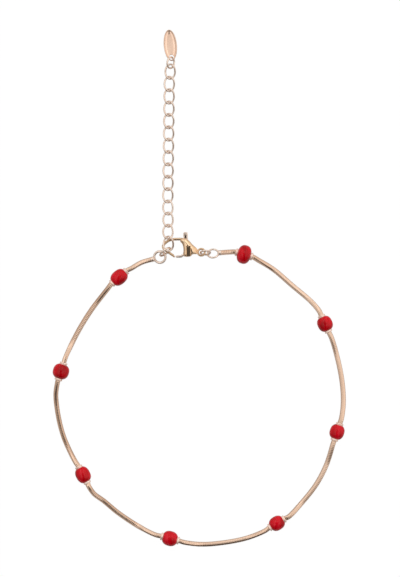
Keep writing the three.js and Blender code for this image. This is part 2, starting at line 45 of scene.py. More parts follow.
UP = np.array([0.0, 0.0, 1.0])
# Added to the route's own coordinates, to give the model's
SHIFT = np.array([0.16471849, -0.06993633, 0.0])
FLOOR_CLEARANCE = 0.01

# Sizes of the model, in millimetres
CHAIN_DIAMETER = 1.36
CHAIN_DROP = 6
LEVEL_PAST_BEAD = 0.5
LEFT_RING_WIRE = 0.6
LEFT_RING_DIAMETER = 3.46
LEFT_RING_LIFT = 0.06
RIGHT_RING_WIRE = 0.45
RIGHT_RING_DIAMETER = 3.15
RIGHT_RING_LIFT = 0.42
SOLDER_DEPTH = 0.15
BEAD_DIAMETER = 4
BEAD_LENGTH = 3.6
BEAD_ROUNDNESS = 2.4
RIM_LENGTH = 0.55
CORE_RADIUS = 0.92
CLASP_LENGTH = 11.25
CLASP_THICKNESS = 2.7
CLAW_WIDTH = 0.72
CLAW_THICKNESS = 1.08
CLAW_TIP_TAPER = 0.82
EYE_DIAMETER = 2.2
EYE_HOLE = 1.2
EYE_THICKNESS = 0.84
BAND_DEPTH = 0.2
LEVER_THICKNESS = 0.9
SLOT_CLEARANCE = 0.11
GATE_GAP = 0.12
PIN_DIAMETER = 0.8
CLASP_RING_WIRE = 0.45
CLASP_RING_DIAMETER = 2.85
CLASP_RING_SAG = 0.1
CONNECTOR_WIRE = 0.5
CONNECTOR_DIAMETER = 3.5
TAG_RING_WIRE = 0.46
TAG_RING_DIAMETER = 3.2
LEFT_RING_PLAY = 0.083
FIRST_LINK_PLAY = 0.112
CLASP_EYE_PLAY = 0.2
RIGHT_RING_PLAY = 0.2
TAG_RING_PLAY = 0.14
LINK_WIRE = 0.46
LINK_WIDTH = 2.88
LINK_PITCH = 3.09
LINK_CLEARANCE = 0.09
LINK_TWIST = 0.36
TAG_LENGTH = 7.95
TAG_WIDTH = 3.3
TAG_THICKNESS = 0.36
TAG_HOLE = 1.3
TAG_HOLE_EDGE = 0.27
TAG_BORDER = 0.34
TAG_BORDER_RISE = 0.14

# The snake chain's own section and weave: half its width, how square it is, and how far its corners are cut
CHAIN_HALF = 0.58
CHAIN_SQUARENESS = 6
CHAIN_CORNER = 0.62
CHAIN_SHARP_ANGLE = 33
BAND_PITCH = 0.42
BAND_RINGS = 5
BAND_SIDES = 24
BAND_WAVE = 0.06
BAND_GROOVE = 0.02
END_FADE_BANDS = 2
SLOPE_STEP = 0.02

# The chain's twist in degrees, at shares of its length
TWIST_PLACES = [0, 0.045, 0.06, 0.41, 0.425, 0.59, 0.605, 0.67, 0.68, 0.7, 0.72, 0.805, 0.825, 0.845, 0.86,
                0.945, 0.96, 1]
TWIST_ANGLES = [-40, -38, -22, -22, 12, 12, 42, 46, 30, 34, 45, 48, 82, 82, 54, 55, 80, 80]

# The chain's route round the loop, from the right end to the left
BEAD, PLAIN = True, False
ROUTE = [
    (7.5, 9.1, PLAIN), (11.0, 8.5, BEAD), (14.5, 7.1, PLAIN), (18.3, 4.8, PLAIN), (23.0, 0.8, PLAIN),
    (27.8, -3.3, PLAIN), (29.8, -5.7, PLAIN), (31.2, -8.8, BEAD), (32.9, -12.5, PLAIN),
    (34.3, -17.2, PLAIN), (35.5, -23.3, PLAIN), (35.8, -28.6, PLAIN), (35.3, -32.5, PLAIN),
    (34.2, -35.8, BEAD), (33.2, -38.8, PLAIN), (31.6, -44.0, PLAIN), (29.0, -49.0, PLAIN),
    (25.2, -53.8, PLAIN), (22.1, -57.0, PLAIN), (19.2, -58.6, BEAD), (16.2, -60.5, PLAIN),
    (11.5, -62.4, PLAIN), (5.1, -63.6, PLAIN), (0.2, -63.9, PLAIN), (-3.8, -63.4, PLAIN),
    (-7.5, -62.4, BEAD), (-11.1, -61.5, PLAIN), (-15.2, -59.5, PLAIN), (-20.5, -56.0, PLAIN),
    (-24.0, -53.1, PLAIN), (-26.5, -51.2, PLAIN), (-27.9, -49.1, PLAIN), (-29.2, -46.5, BEAD),
    (-31.2, -43.1, PLAIN), (-33.9, -37.5, PLAIN), (-35.4, -31.9, PLAIN), (-36.0, -26.6, PLAIN),
    (-35.6, -23.6, PLAIN), (-34.7, -20.7, BEAD), (-33.4, -16.8, PLAIN), (-30.6, -11.0, PLAIN),
    (-27.1, -5.3, PLAIN), (-23.0, 0.0, PLAIN), (-20.2, 2.8, BEAD), (-17.2, 5.0, PLAIN),
    (-14.6, 6.5, PLAIN), (-11.55, 7.4, PLAIN),
]
SHORTEST_STEP = 1e-4
LEFT_END_HEADING = 16.6
RIGHT_END_HEADING = 6.5
# Size of each bead across and along the chain, as shares of the usual one
BEAD_SHARES = [(1.21, 0.92), (0.97, 1.0), (0.94, 0.98), (0.92, 0.98), (0.96, 1.0), (0.93, 1.06),
               (1.04, 1.0), (0.94, 1.12)]

# The soldered collar at each end of the chain: radius and height of each corner
COLLAR_PROFILE = [(0.05, -0.1), (0.56, -0.1), (0.66, 0.0), (0.66, 0.62), (0.6, 0.7), (0.05, 0.7)]
COLLAR_SIDES = 32

# The beads: the enamel shell, and the spool's rim with its radius at each distance from the end
ENAMEL_SHARE = 0.979
ENAMEL_ROWS = 25
ENAMEL_SIDES = 64
ENAMEL_INSET = 0.04
ENAMEL_END_INSET = 0.05
BORE_PLAY = 0.03
RIM_PROFILE = [(0.8, 0), (0.88, 0.01), (0.95, 0.07), (0.98, 0.16), (0.96, 0.28), (CORE_RADIUS, 0.4)]
SPOOL_HOLE = 0.78
SPOOL_HOLE_INSET = 0.06
SPOOL_SIDES = 48

RING_STEPS = 72
RING_SIDES = 16
# Heading and tilt of each ring, in degrees
LEFT_RING = (-64.3, 12.8)
CONNECTOR = (36.9, 72.1)
CLASP_RING = (0, 66)
RIGHT_RING = (6.5, -40)
TAG_RING = (82, 52)
# Where the jump rings are cut, in degrees round them
CLASP_RING_CUT = 260
CONNECTOR_CUT = -20
TAG_RING_CUT = 200
HALF_CUT = 0.025
CUT_END_SHARE = 0.8
# Where a ring or link takes hold of the next, in degrees round it
CONNECTOR_ON_LEFT_RING = 101.4
LEFT_RING_ON_CONNECTOR = -121.1
FIRST_LINK_ON_CONNECTOR = 65.5
CONNECTOR_ON_FIRST_LINK = 240.8
TAG_RING_ON_LAST_LINK = 71
LAST_LINK_ON_TAG_RING = -124.5
RIGHT_RING_FROM_CLASP_RING = -6.4

# Places on the clasp, as shares of its length from the middle of its eye
CONNECTOR_IN_CLAW = (-0.803, 0.009)
PIVOT = (-0.296, 0.051)
CLAW_ROOT = (-0.34, 0.262)
CLAW_PATH = [(-0.433, 0.289), (-0.518, 0.291), (-0.673, 0.278), (-0.784, 0.22), (-0.847, 0.14),
             (-0.824, 0.064), (-0.709, -0.016), (-0.584, -0.1)]
BODY_OUTLINE = [(-0.451, 0.318), (-0.34, 0.304), (-0.262, 0.251), (-0.196, 0.171), (-0.084, 0.076),
                (-0.073, -0.042), (-0.196, -0.042), (-0.238, -0.096), (-0.373, -0.104), (-0.402, -0.049),
                (-0.393, 0.073), (-0.416, 0.184), (-0.473, 0.238)]
SLOT_OUTLINE = [(-0.416, 0.54), (-0.167, 0.54), (-0.167, 0.14), (-0.198, -0.216), (-0.74, -0.216),
                (-0.74, 0.14), (-0.416, 0.196)]
TAIL_SHARES = (-0.2, -0.07)
BAND_SHARES = (-0.333, -0.238)
BAND_TOP = 0.14
LEVER_OUTLINE = [(-0.402, 0.42), (-0.384, 0.447), (-0.318, 0.447), (-0.3, 0.42), (-0.298, 0.284),
                 (-0.251, 0.173), (-0.224, 0.078), (-0.238, 0.002), (-0.296, -0.036), (-0.371, -0.073),
                 (-0.44, -0.122), (-0.56, -0.122), (-0.573, -0.098), (-0.564, -0.073), (-0.451, -0.067),
                 (-0.38, -0.002), (-0.371, 0.096), (-0.393, 0.229)]
# The knob's pocket: middle, width and length
KNOB_SLOT = (-0.353, 0.347, 0.022, 0.055)

# How the clasp is modelled
CLAW_STEPS = 12
CLAW_SIDES = 20
GATE_SECTOR_STEPS = 40
DRUM_SIDES = 40
CORNER_SHARE = 0.35
CORNER_REACH = 0.45
BODY_CORNER_STEPS = 6
BODY_SPACING = 0.11
NEAREST_SHARE = 0.4
WELD_DISTANCE = 1e-7
BODY_EDGE_SHARE = 0.42
BODY_ROUNDING = 1.25
TAIL_EDGE_DROP = 0.25
BAND_STEP = 0.07
BAND_FALL = 0.17
BAND_FADE = 0.2
BAND_SHALLOWEST = 0.04
BODY_PIN_PLAY = 0.02
LEVER_PIN_PLAY = 0.06
PIN_TOP_PLAY = 0.01
PIN_BORE = 0.01
PIN_FOOT = 0.02
PIN_CHAMFER = 0.1
PIN_SIDES = 32
LEVER_BEVEL = 0.26
POCKET_REACH = 0.51
POCKET_RIM = 0.02
BELOW_CLASP = -1
ABOVE_CLASP = 4
CAST_SHARP_ANGLE = 40
BEVEL_SHARP_ANGLE = 50

# The extender
LINK_COUNT = 15
LINK_STEPS = 64
LINK_SIDES = 14
LINK_SLOPE_STEP = 0.002
LINK_FLATNESS = 0.94
EXTENDER_TURN = -0.75
# heading, pitch, roll
FIRST_LINK = (-1.6, 4.7, 8.1)
# height share, step share, bearing, heading, pitch, roll
RAISED_LINKS = [(0.812, 0.975, 2.3, 0.3, -12.8, 1.4), (0.472, 0.979, -0.5, 1.2, -10, 0.4),
                (0.153, 0.979, 0.9, 2.7, -11, 0.7), (0.006, 0.995, 0, 0, 0, 0)]
FLAT_LINK = (0, 1, EXTENDER_TURN, EXTENDER_TURN, 0, 0)
LAST_LINK = (0, 1, -4, -2, 0, 0)

# The tag
TAG_TURN = 5.4
TAG_SIDES = 96
TAG_BEVEL = 0.05
TAG_DRILL_REACH = 1.0


def smoothstep(x, low, high):
    t = np.clip((np.asarray(x, float) - low) / (high - low), 0, 1)
    return t * t * (3 - 2 * t)


def level(heading, length):
    a = math.radians(heading)
    return length * np.array([math.cos(a), math.sin(a), 0.0])


def ring_axes(heading, tilt):
    a, t = math.radians(heading), math.radians(tilt)
    along = np.array([math.cos(a), math.sin(a), 0.0])
    rising = np.array([-along[1] * math.cos(t), along[0] * math.cos(t), math.sin(t)])
    return along, rising, np.cross(along, rising)


def ring_offset(reach, lie, angle):
    along, rising, _ = ring_axes(*lie)
    a = math.radians(angle)
    return reach * (math.cos(a) * along + math.sin(a) * rising)


def resting_height(diameter, wire, tilt):
    return (diameter - wire) / 2 * abs(math.sin(math.radians(tilt))) + wire / 2 + FLOOR_CLEARANCE


# Places of the rings and the clasp
left_end = np.array([ROUTE[-1][0], ROUTE[-1][1], 0.0])
left_radius = (LEFT_RING_DIAMETER - LEFT_RING_WIRE) / 2
left_centre = left_end + level(LEFT_END_HEADING, LEFT_RING_DIAMETER / 2 - SOLDER_DEPTH)
left_centre[2] = resting_height(LEFT_RING_DIAMETER, LEFT_RING_WIRE, LEFT_RING[1]) + LEFT_RING_LIFT

connector_radius = (CONNECTOR_DIAMETER - CONNECTOR_WIRE) / 2
connector_hook = connector_radius - (LEFT_RING_WIRE + CONNECTOR_WIRE) / 2 - LEFT_RING_PLAY
connector_centre = left_centre + ring_offset(left_radius, LEFT_RING, CONNECTOR_ON_LEFT_RING) - ring_offset(
    connector_hook, CONNECTOR, LEFT_RING_ON_CONNECTOR)
connector_centre[2] = resting_height(CONNECTOR_DIAMETER, CONNECTOR_WIRE, CONNECTOR[1])

clasp_middle = CLASP_THICKNESS / 2
eye = np.array([connector_centre[0] - CONNECTOR_IN_CLAW[0] * CLASP_LENGTH,
                connector_centre[1] - CONNECTOR_IN_CLAW[1] * CLASP_LENGTH, clasp_middle])

clasp_ring_radius = (CLASP_RING_DIAMETER - CLASP_RING_WIRE) / 2
clasp_ring_centre = np.array([
    eye[0] - EYE_HOLE / 2 + CLASP_RING_WIRE / 2 + CLASP_EYE_PLAY + clasp_ring_radius,
    eye[1] - CLASP_RING_SAG,
    max(clasp_middle, resting_height(CLASP_RING_DIAMETER, CLASP_RING_WIRE, CLASP_RING[1]))])

right_radius = (RIGHT_RING_DIAMETER - RIGHT_RING_WIRE) / 2
right_reach = clasp_ring_radius + right_radius - (CLASP_RING_WIRE + RIGHT_RING_WIRE) / 2 - RIGHT_RING_PLAY
right_centre = clasp_ring_centre + level(RIGHT_RING_FROM_CLASP_RING, right_reach)
right_centre[2] = resting_height(RIGHT_RING_DIAMETER, RIGHT_RING_WIRE, RIGHT_RING[1]) + RIGHT_RING_LIFT
right_end = right_centre + level(RIGHT_END_HEADING, RIGHT_RING_DIAMETER / 2 - SOLDER_DEPTH)


# The chain's path: a smooth curve through the route's points, straight through each bead
def catmull_rom(points, per_segment):
    points = np.asarray(points, float)
    padded = np.vstack([2 * points[0] - points[1], points, 2 * points[-1] - points[-2]])
    rows = []
    for i in range(len(points) - 1):
        p0, p1, p2, p3 = padded[i:i + 4]
        d0, d1, d2 = (math.sqrt(np.linalg.norm(b - a)) for a, b in ((p0, p1), (p1, p2), (p2, p3)))
        d1 = max(d1, SHORTEST_STEP)
        d0 = d0 if d0 > SHORTEST_STEP else d1
        d2 = d2 if d2 > SHORTEST_STEP else d1
        t1 = ((p1 - p0) / d0 - (p2 - p0) / (d0 + d1) + (p2 - p1) / d1) * d1
        t2 = ((p2 - p1) / d1 - (p3 - p1) / (d1 + d2) + (p3 - p2) / d2) * d1
        last = i == len(points) - 2
        t = np.linspace(0, 1, per_segment + 1)[:None if last else -1, None]
        square, cube = -3 * p1 + 3 * p2 - 2 * t1 - t2, 2 * p1 - 2 * p2 + t1 + t2
        rows.append(p1 + t1 * t + square * t ** 2 + cube * t ** 3)
    return np.vstack(rows)


PER_SEGMENT = 40
route_points = [right_end * [1, 1, 0]]
beads = []
for i, (x, y, is_bead) in enumerate(ROUTE):
    point = np.array([x, y, 0.0])
    if not is_bead:
        route_points.append(point)
        continue
    across, along = BEAD_SHARES[len(beads)]
    axis = np.array([ROUTE[i + 1][0] - ROUTE[i - 1][0], ROUTE[i + 1][1] - ROUTE[i - 1][1], 0.0])
    axis /= np.linalg.norm(axis)
    length = BEAD_LENGTH * along
    beads.append({"radius": BEAD_DIAMETER / 2 * across, "length": length, "axis": axis, "centre": point,
                  "index": PER_SEGMENT * (len(route_points) + 1)})
    reach = axis * (length / 2 + RIM_LENGTH)
    route_points += [point - reach, point, point + reach]
plan = catmull_rom(route_points, PER_SEGMENT)
plan_places = np.concatenate([[0], np.cumsum(np.linalg.norm(np.diff(plan, axis=0), axis=1))])
plan_length = plan_places[-1]
for bead in beads:
    bead["place"] = plan_places[bead["index"]]


def chain_height(place):
    low = CHAIN_DIAMETER / 2
    height = np.full_like(place, low)
    for bead in beads:
        away = np.abs(place - bead["place"]) - bead["length"] / 2 - RIM_LENGTH - LEVEL_PAST_BEAD
        height = np.maximum(height, low + (bead["radius"] - low) * (1 - smoothstep(away, 0, CHAIN_DROP)))
    first = beads[0]
    end_drop = min(CHAIN_DROP, first["place"] - first["length"] / 2 - RIM_LENGTH - LEVEL_PAST_BEAD)
    at_end = right_end[2] + (first["radius"] - right_end[2]) * smoothstep(place, 0, end_drop)
    return np.where(place < end_drop, at_end, height)


def plan_at(place):
    place = np.clip(place, 0, plan_length)
    return np.stack([np.interp(place, plan_places, plan[:, k]) for k in range(2)], axis=-1)


# Mesh helpers
def new_object(name, points, faces):
    """An object with its faces turned outwards, from points in millimetres."""
    mesh = bpy.data.meshes.new(name)
    points = (np.asarray(points, float) + SHIFT) * MM
    mesh.from_pydata(points.tolist(), [], [tuple(int(v) for v in face) for face in faces])
    mesh.validate()
    solid = bmesh.new()
    solid.from_mesh(mesh)
    bmesh.ops.recalc_face_normals(solid, faces=solid.faces)
    solid.to_mesh(mesh)
    solid.free()
    created = bpy.data.objects.new(name, mesh)
    bpy.context.scene.collection.objects.link(created)
    return created


def add_mesh(name, points, faces, material, body=BODY):
    piece = new_object(name, points, faces)
    piece.data.shade_smooth()
    piece.data.materials.append(material)
    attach(piece, body)
    return piece


def full_turn(count):
    return 2 * np.pi * np.arange(count) / count


def grid_faces(rows, columns, closed):
    """Faces between rows of points. Each row is a loop, and closed joins the last row to the first."""
    faces = []
    for i in range(rows if closed else rows - 1):
        a, b = i * columns, (i + 1) % rows * columns
        for j in range(columns):
            k = (j + 1) % columns
            faces.append((a + j, a + k, b + k, b + j))
    return faces


def tube_faces(rows, columns):
    """Faces between rows of points that are loops, with a flat face at each end."""
    last = (rows - 1) * columns
    ends = [tuple(range(columns)), tuple(last + j for j in range(columns))]
    return grid_faces(rows, columns, False) + ends


def sweep(centres, out, side, out_size, side_size, sides, closed):
    """A tube whose section has half-sizes out_size along out and side_size along side."""
    turn = full_turn(sides)
    c, s = np.cos(turn), np.sin(turn)
    out_size = np.broadcast_to(out_size, len(centres))[:, None, None]
    side_size = np.broadcast_to(side_size, len(centres))[:, None, None]
    points = (centres[:, None] + out_size * c[None, :, None] * out[:, None]
              + side_size * s[None, :, None] * side[:, None]).reshape(-1, 3)
    return points, grid_faces(len(centres), sides, True) if closed else tube_faces(len(centres), sides)


def ring_mesh(centre, diameter, wire, lie, cut_at=None, steps=RING_STEPS):
    """A wire ring. With cut_at it has the fine cut of a jump ring at that angle."""
    along, rising, normal = ring_axes(*lie)
    radius = (diameter - wire) / 2
    if cut_at is None:
        turn = full_turn(steps)
    else:
        half_cut = HALF_CUT / radius
        turn = math.radians(cut_at) + np.linspace(half_cut, 2 * np.pi - half_cut, steps)
    out = np.cos(turn)[:, None] * along + np.sin(turn)[:, None] * rising
    centres = centre + radius * out
    side = np.broadcast_to(normal, out.shape)
    size = np.full(len(turn), wire / 2)
    if cut_at is not None:
        size[[0, -1]] *= CUT_END_SHARE
    return sweep(centres, out, side, size, size, RING_SIDES, cut_at is None)


def join(parts):
    points, faces, start = [], [], 0
    for part_points, part_faces in parts:
        points.append(part_points)
        faces += [tuple(v + start for v in face) for face in part_faces]
        start += len(part_points)
    return np.vstack(points), faces


def lathe(profile, centre, axis, sides):
    """Turns (radius, height) rows about an axis through centre. The profile is closed on itself."""
    axis = np.asarray(axis, float) / np.linalg.norm(axis)
    helper = UP if abs(axis[2]) < 0.9 else np.array([1.0, 0, 0])
    u = np.cross(helper, axis)
    u /= np.linalg.norm(u)
    v = np.cross(axis, u)
    turn = full_turn(sides)
    out = np.cos(turn)[:, None] * u + np.sin(turn)[:, None] * v
    profile = np.asarray(profile, float)
    points = (centre + profile[:, None, 0:1] * out[None] + profile[:, None, 1:2] * axis).reshape(-1, 3)
    return points, grid_faces(len(profile), sides, True)


# Materials
def srgb(r, g, b):
    def one(value):
        value /= 255
        return value / 12.92 if value <= 0.04045 else ((value + 0.055) / 1.055) ** 2.4
    return one(r), one(g), one(b), 1.0


def new_material(name):
    material = bpy.data.materials.new(name)
    material.use_nodes = True
    nodes = material.node_tree.nodes
    return material, nodes, material.node_tree.links, nodes["Principled BSDF"]


def noise(nodes, links, scale, detail=4.0, stretch=(1, 1, 1)):
    coords = nodes.new("ShaderNodeTexCoord")
    mapping = nodes.new("ShaderNodeMapping")
    mapping.inputs["Scale"].default_value = stretch
    links.new(coords.outputs["Object"], mapping.inputs["Vector"])
    texture = nodes.new("ShaderNodeTexNoise")
    texture.inputs["Scale"].default_value = scale
    texture.inputs["Detail"].default_value = detail
    texture.inputs["Roughness"].default_value = 0.55
    links.new(mapping.outputs["Vector"], texture.inputs["Vector"])
    return texture


def ramp(nodes, links, source, stops):
    node = nodes.new("ShaderNodeValToRGB")
    while len(node.color_ramp.elements) < len(stops):
        node.color_ramp.elements.new(0.5)
    for element, (position, colour) in zip(node.color_ramp.elements, stops):
        element.position = position
        element.color = colour
    links.new(source, node.inputs["Fac"])
    return node


def grey(value):
    return (value, value, value, 1.0)


def add_relief(nodes, links, shader, texture, strength, distance):
    relief = nodes.new("ShaderNodeBump")
    relief.inputs["Strength"].default_value = strength
    relief.inputs["Distance"].default_value = distance
    links.new(texture.outputs["Fac"], relief.inputs["Height"])
    links.new(relief.outputs["Normal"], shader.inputs["Normal"])


def metal(name, light, dark, roughness, patch_scale, mark_scale, relief, metallic=1.0):
    """Plated metal: patches of tone, fine polishing marks, and duller places."""
    material, nodes, links, shader = new_material(name)
    shader.inputs["Metallic"].default_value = metallic
    patches = noise(nodes, links, patch_scale)
    tone = ramp(nodes, links, patches.outputs["Fac"], [(0.3, dark), (0.7, light)])
    links.new(tone.outputs["Color"], shader.inputs["Base Color"])
    marks = noise(nodes, links, mark_scale, detail=6.0, stretch=(1, 1, 3))
    lowest, highest = roughness
    dull = ramp(nodes, links, marks.outputs["Fac"], [(0.3, grey(lowest)), (0.75, grey(highest))])
    links.new(dull.outputs["Color"], shader.inputs["Roughness"])
    add_relief(nodes, links, shader, marks, strength=relief, distance=0.00004)
    return material


def enamel():
    """Glossy enamel over metal: deep red with brighter streaks round the bead, slightly uneven."""
    material, nodes, links, shader = new_material("red_enamel_gloss")
    streaks = noise(nodes, links, 420.0, detail=3.0, stretch=(1.6, 0.45, 1.0))
    tone = ramp(nodes, links, streaks.outputs["Fac"],
                [(0.32, srgb(154, 0, 10)), (0.5, srgb(190, 3, 20)), (0.7, srgb(214, 18, 42))])
    links.new(tone.outputs["Color"], shader.inputs["Base Color"])
    for socket, value in (("Roughness", 0.14), ("Specular IOR Level", 0.2), ("Coat Weight", 0.1),
                          ("Coat Roughness", 0.08)):
        shader.inputs[socket].default_value = value
    uneven = noise(nodes, links, 260.0, detail=2.0)
    add_relief(nodes, links, shader, uneven, strength=0.08, distance=0.0001)
    return material


chain_gold = metal("chain_rose_gold", srgb(238, 210, 188), srgb(222, 191, 168),
                   roughness=(0.14, 0.26), patch_scale=60.0, mark_scale=900.0, relief=0.05)
rose_gold = metal("polished_rose_gold", srgb(255, 242, 230), srgb(242, 222, 208),
                  roughness=(0.22, 0.36), patch_scale=300.0, mark_scale=1500.0, relief=0.08)
bead_gold = metal("pale_rose_gold", srgb(255, 236, 224), srgb(250, 222, 208),
                  roughness=(0.4, 0.52), patch_scale=300.0, mark_scale=1500.0, relief=0.06, metallic=0.65)
clasp_gold = metal("polished_yellow_gold", srgb(250, 222, 188), srgb(236, 202, 162),
                   roughness=(0.07, 0.16), patch_scale=220.0, mark_scale=1300.0, relief=0.05)
tag_gold = metal("brushed_rose_gold", srgb(252, 224, 204), srgb(236, 204, 182),
                 roughness=(0.14, 0.26), patch_scale=260.0, mark_scale=1600.0, relief=0.05)
# Dark brown metal for the inside of the lever knob's pocket: painted shade standing in for the shadow in the
# pocket, not tarnish
pocket_painted_shade = metal("painted_shade_pocket", srgb(92, 66, 46), srgb(64, 44, 30),
                    roughness=(0.4, 0.6), patch_scale=300.0, mark_scale=1500.0, relief=0.1)
red = enamel()


# The snake chain: wavy bands on a square section with cut corners, which twists slowly
def chain_section(c, s):
    fullness = (np.abs(c) ** CHAIN_SQUARENESS + np.abs(s) ** CHAIN_SQUARENESS) ** (1 / CHAIN_SQUARENESS)
    return np.minimum(CHAIN_HALF / fullness, CHAIN_CORNER * math.sqrt(2) / (np.abs(c) + np.abs(s)))


def make_chain():
    bands = int(plan_length / BAND_PITCH)
    pitch = plan_length / bands
    steps = np.arange(bands * BAND_RINGS + 1)
    share = steps / BAND_RINGS
    turn = full_turn(BAND_SIDES)
    c, s = np.cos(turn), np.sin(turn)
    section = chain_section(c, s)
    faded = END_FADE_BANDS * BAND_RINGS
    fade = smoothstep(steps, 0, faded) * smoothstep(-steps, -steps[-1], faded - steps[-1])
    place = share[:, None] * pitch + BAND_WAVE * fade[:, None] * np.cos(2 * turn)[None]
    bulge = 1 - BAND_GROOVE * np.abs(2 * (share % 1) - 1) ** 3
    ahead, behind = plan_at(place + SLOPE_STEP), plan_at(place - SLOPE_STEP)
    along = ahead - behind
    along /= np.linalg.norm(along, axis=-1, keepdims=True)
    side = np.stack([-along[..., 1], along[..., 0], np.zeros(place.shape)], axis=-1)
    rise = (chain_height(place + SLOPE_STEP) - chain_height(place - SLOPE_STEP)) / (2 * SLOPE_STEP)
    up = np.stack([-along[..., 0] * rise, -along[..., 1] * rise, np.ones(place.shape)], axis=-1)
    up /= np.linalg.norm(up, axis=-1, keepdims=True)
    twist = np.radians(np.interp(share * pitch / plan_length, TWIST_PLACES, TWIST_ANGLES))
    out_a = (section * c)[None] * bulge[:, None]
    out_b = (section * s)[None] * bulge[:, None]
    across = out_a * np.cos(twist)[:, None] - out_b * np.sin(twist)[:, None]
    above = out_a * np.sin(twist)[:, None] + out_b * np.cos(twist)[:, None]
    lowest = (CHAIN_DIAMETER / 2 + above.min(axis=1))[:, None]
    centre = np.concatenate([plan_at(place), (chain_height(place) - lowest)[..., None]], axis=-1)
    points = (centre + across[..., None] * side + above[..., None] * up).reshape(-1, 3)
    chain = add_mesh("snake_chain_woven", points, tube_faces(len(steps), BAND_SIDES), chain_gold)
    chain.data.set_sharp_from_angle(angle=math.radians(CHAIN_SHARP_ANGLE))
    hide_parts("snake_chain")


def make_end_rings():
    """The ring at each end of the chain, with the collar that it is soldered to."""
    raised_left_end = left_end + [0, 0, CHAIN_DIAMETER / 2]
    for name, end, centre, diameter, wire, lie, heading in (
            ("end_ring_right", right_end, right_centre, RIGHT_RING_DIAMETER, RIGHT_RING_WIRE, RIGHT_RING,
             RIGHT_END_HEADING + 180),
            ("end_ring_left", raised_left_end, left_centre, LEFT_RING_DIAMETER, LEFT_RING_WIRE, LEFT_RING,
             LEFT_END_HEADING)):
        collar = lathe(COLLAR_PROFILE, end, -level(heading, 1.0), COLLAR_SIDES)
        points, faces = join([ring_mesh(centre, diameter, wire, lie), collar])
        ring = add_mesh(name, points, faces, rose_gold)
        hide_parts("snake_chain")


def barrel_share(share):
    return (1 - np.clip(share, 0, 1) ** BEAD_ROUNDNESS) ** (1 / BEAD_ROUNDNESS)


def make_beads():
    bore = CORE_RADIUS + BORE_PLAY
    for number, bead in enumerate(beads, 1):
        centre = bead["centre"] + [0, 0, bead["radius"]]
        radius, length = bead["radius"] * ENAMEL_SHARE, bead["length"]
        reach = length / 2 / barrel_share(bore / radius)
        heights = length / 2 * np.sin(np.linspace(-np.pi / 2, np.pi / 2, ENAMEL_ROWS))
        profile = [(radius * barrel_share(abs(h) / reach), h) for h in heights]
        inner, inner_half = bore - ENAMEL_INSET, length / 2 - ENAMEL_END_INSET
        profile += [(inner, inner_half), (inner, -inner_half)]
        shell = add_mesh(f"enamel_barrel_{number}", *lathe(profile, centre, bead["axis"], ENAMEL_SIDES), red)
        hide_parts(f"bead_enamel_{number}")

        half = length / 2 + RIM_LENGTH
        rim = [(r, -half + from_end) for r, from_end in RIM_PROFILE]
        spool = rim + [(r, -h) for r, h in reversed(rim)]
        spool += [(SPOOL_HOLE, half - SPOOL_HOLE_INSET), (SPOOL_HOLE, -half + SPOOL_HOLE_INSET)]
        core = add_mesh(f"bead_spool_{number}", *lathe(spool, centre, bead["axis"], SPOOL_SIDES), bead_gold)
        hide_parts(f"bead_core_{number}")


def make_jump_rings():
    for node, centre, diameter, wire, lie, cut_at in (
            ("jump_ring_clasp", clasp_ring_centre, CLASP_RING_DIAMETER, CLASP_RING_WIRE, CLASP_RING,
             CLASP_RING_CUT),
            ("jump_ring_connector", connector_centre, CONNECTOR_DIAMETER, CONNECTOR_WIRE, CONNECTOR,
             CONNECTOR_CUT)):
        ring = add_mesh(node + "_wire", *ring_mesh(centre, diameter, wire, lie, cut_at), rose_gold)
        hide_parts(node)


# The extender
def euler(pitch, roll, heading):
    p, r, h = math.radians(pitch), math.radians(-roll), math.radians(heading)
    x = np.array([[1, 0, 0], [0, math.cos(p), -math.sin(p)], [0, math.sin(p), math.cos(p)]])
    y = np.array([[math.cos(r), 0, math.sin(r)], [0, 1, 0], [-math.sin(r), 0, math.cos(r)]])
    z = np.array([[math.cos(h), -math.sin(h), 0], [math.sin(h), math.cos(h), 0], [0, 0, 1]])
    return z @ x @ y


def link_curve(share):
    angle = 2 * np.pi * np.asarray(share, float)
    width = LINK_WIDTH - LINK_WIRE
    length = LINK_PITCH + LINK_WIRE + LINK_CLEARANCE
    return np.stack([width / 2 * np.cos(angle), length / 2 * np.sin(angle), LINK_TWIST * np.sin(2 * angle)],
                    axis=-1)


def link_places():
    flat_height = LINK_TWIST + LINK_WIRE / 2 + FLOOR_CLEARANCE
    hook = connector_radius - (CONNECTOR_WIRE + LINK_WIRE) / 2 - FIRST_LINK_PLAY
    heading, pitch, roll = FIRST_LINK
    turn = euler(pitch, roll, heading)
    centre = connector_centre + ring_offset(hook, CONNECTOR, FIRST_LINK_ON_CONNECTOR)
    centre = centre - turn @ link_curve(CONNECTOR_ON_FIRST_LINK / 360)
    climb = centre[2] - flat_height
    places = [(centre, turn)]
    flat_links = LINK_COUNT - len(RAISED_LINKS) - 2
    for rise, step, bearing, heading, pitch, roll in RAISED_LINKS + [FLAT_LINK] * flat_links + [LAST_LINK]:
        centre = centre + level(90 + bearing, step * LINK_PITCH)
        centre[2] = flat_height + rise * climb
        places.append((centre, euler(pitch, roll, heading)))
    return places


extender = link_places()


def make_links():
    share = np.arange(LINK_STEPS) / LINK_STEPS
    curve = link_curve(share)
    ahead, behind = link_curve(share + LINK_SLOPE_STEP), link_curve(share - LINK_SLOPE_STEP)
    along = ahead - behind
    along /= np.linalg.norm(along, axis=1, keepdims=True)
    up = UP - along * along[:, 2:3]
    up /= np.linalg.norm(up, axis=1, keepdims=True)
    out = np.cross(along, up)
    points, faces = sweep(curve, out, up, LINK_WIRE / 2, LINK_WIRE / 2 * LINK_FLATNESS, LINK_SIDES, True)
    for index, (centre, turn) in enumerate(extender):
        number = LINK_COUNT - index
        link = add_mesh(f"curb_link_{number:02d}", points @ turn.T + centre, faces, rose_gold)
        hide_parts(f"link_{number:02d}")


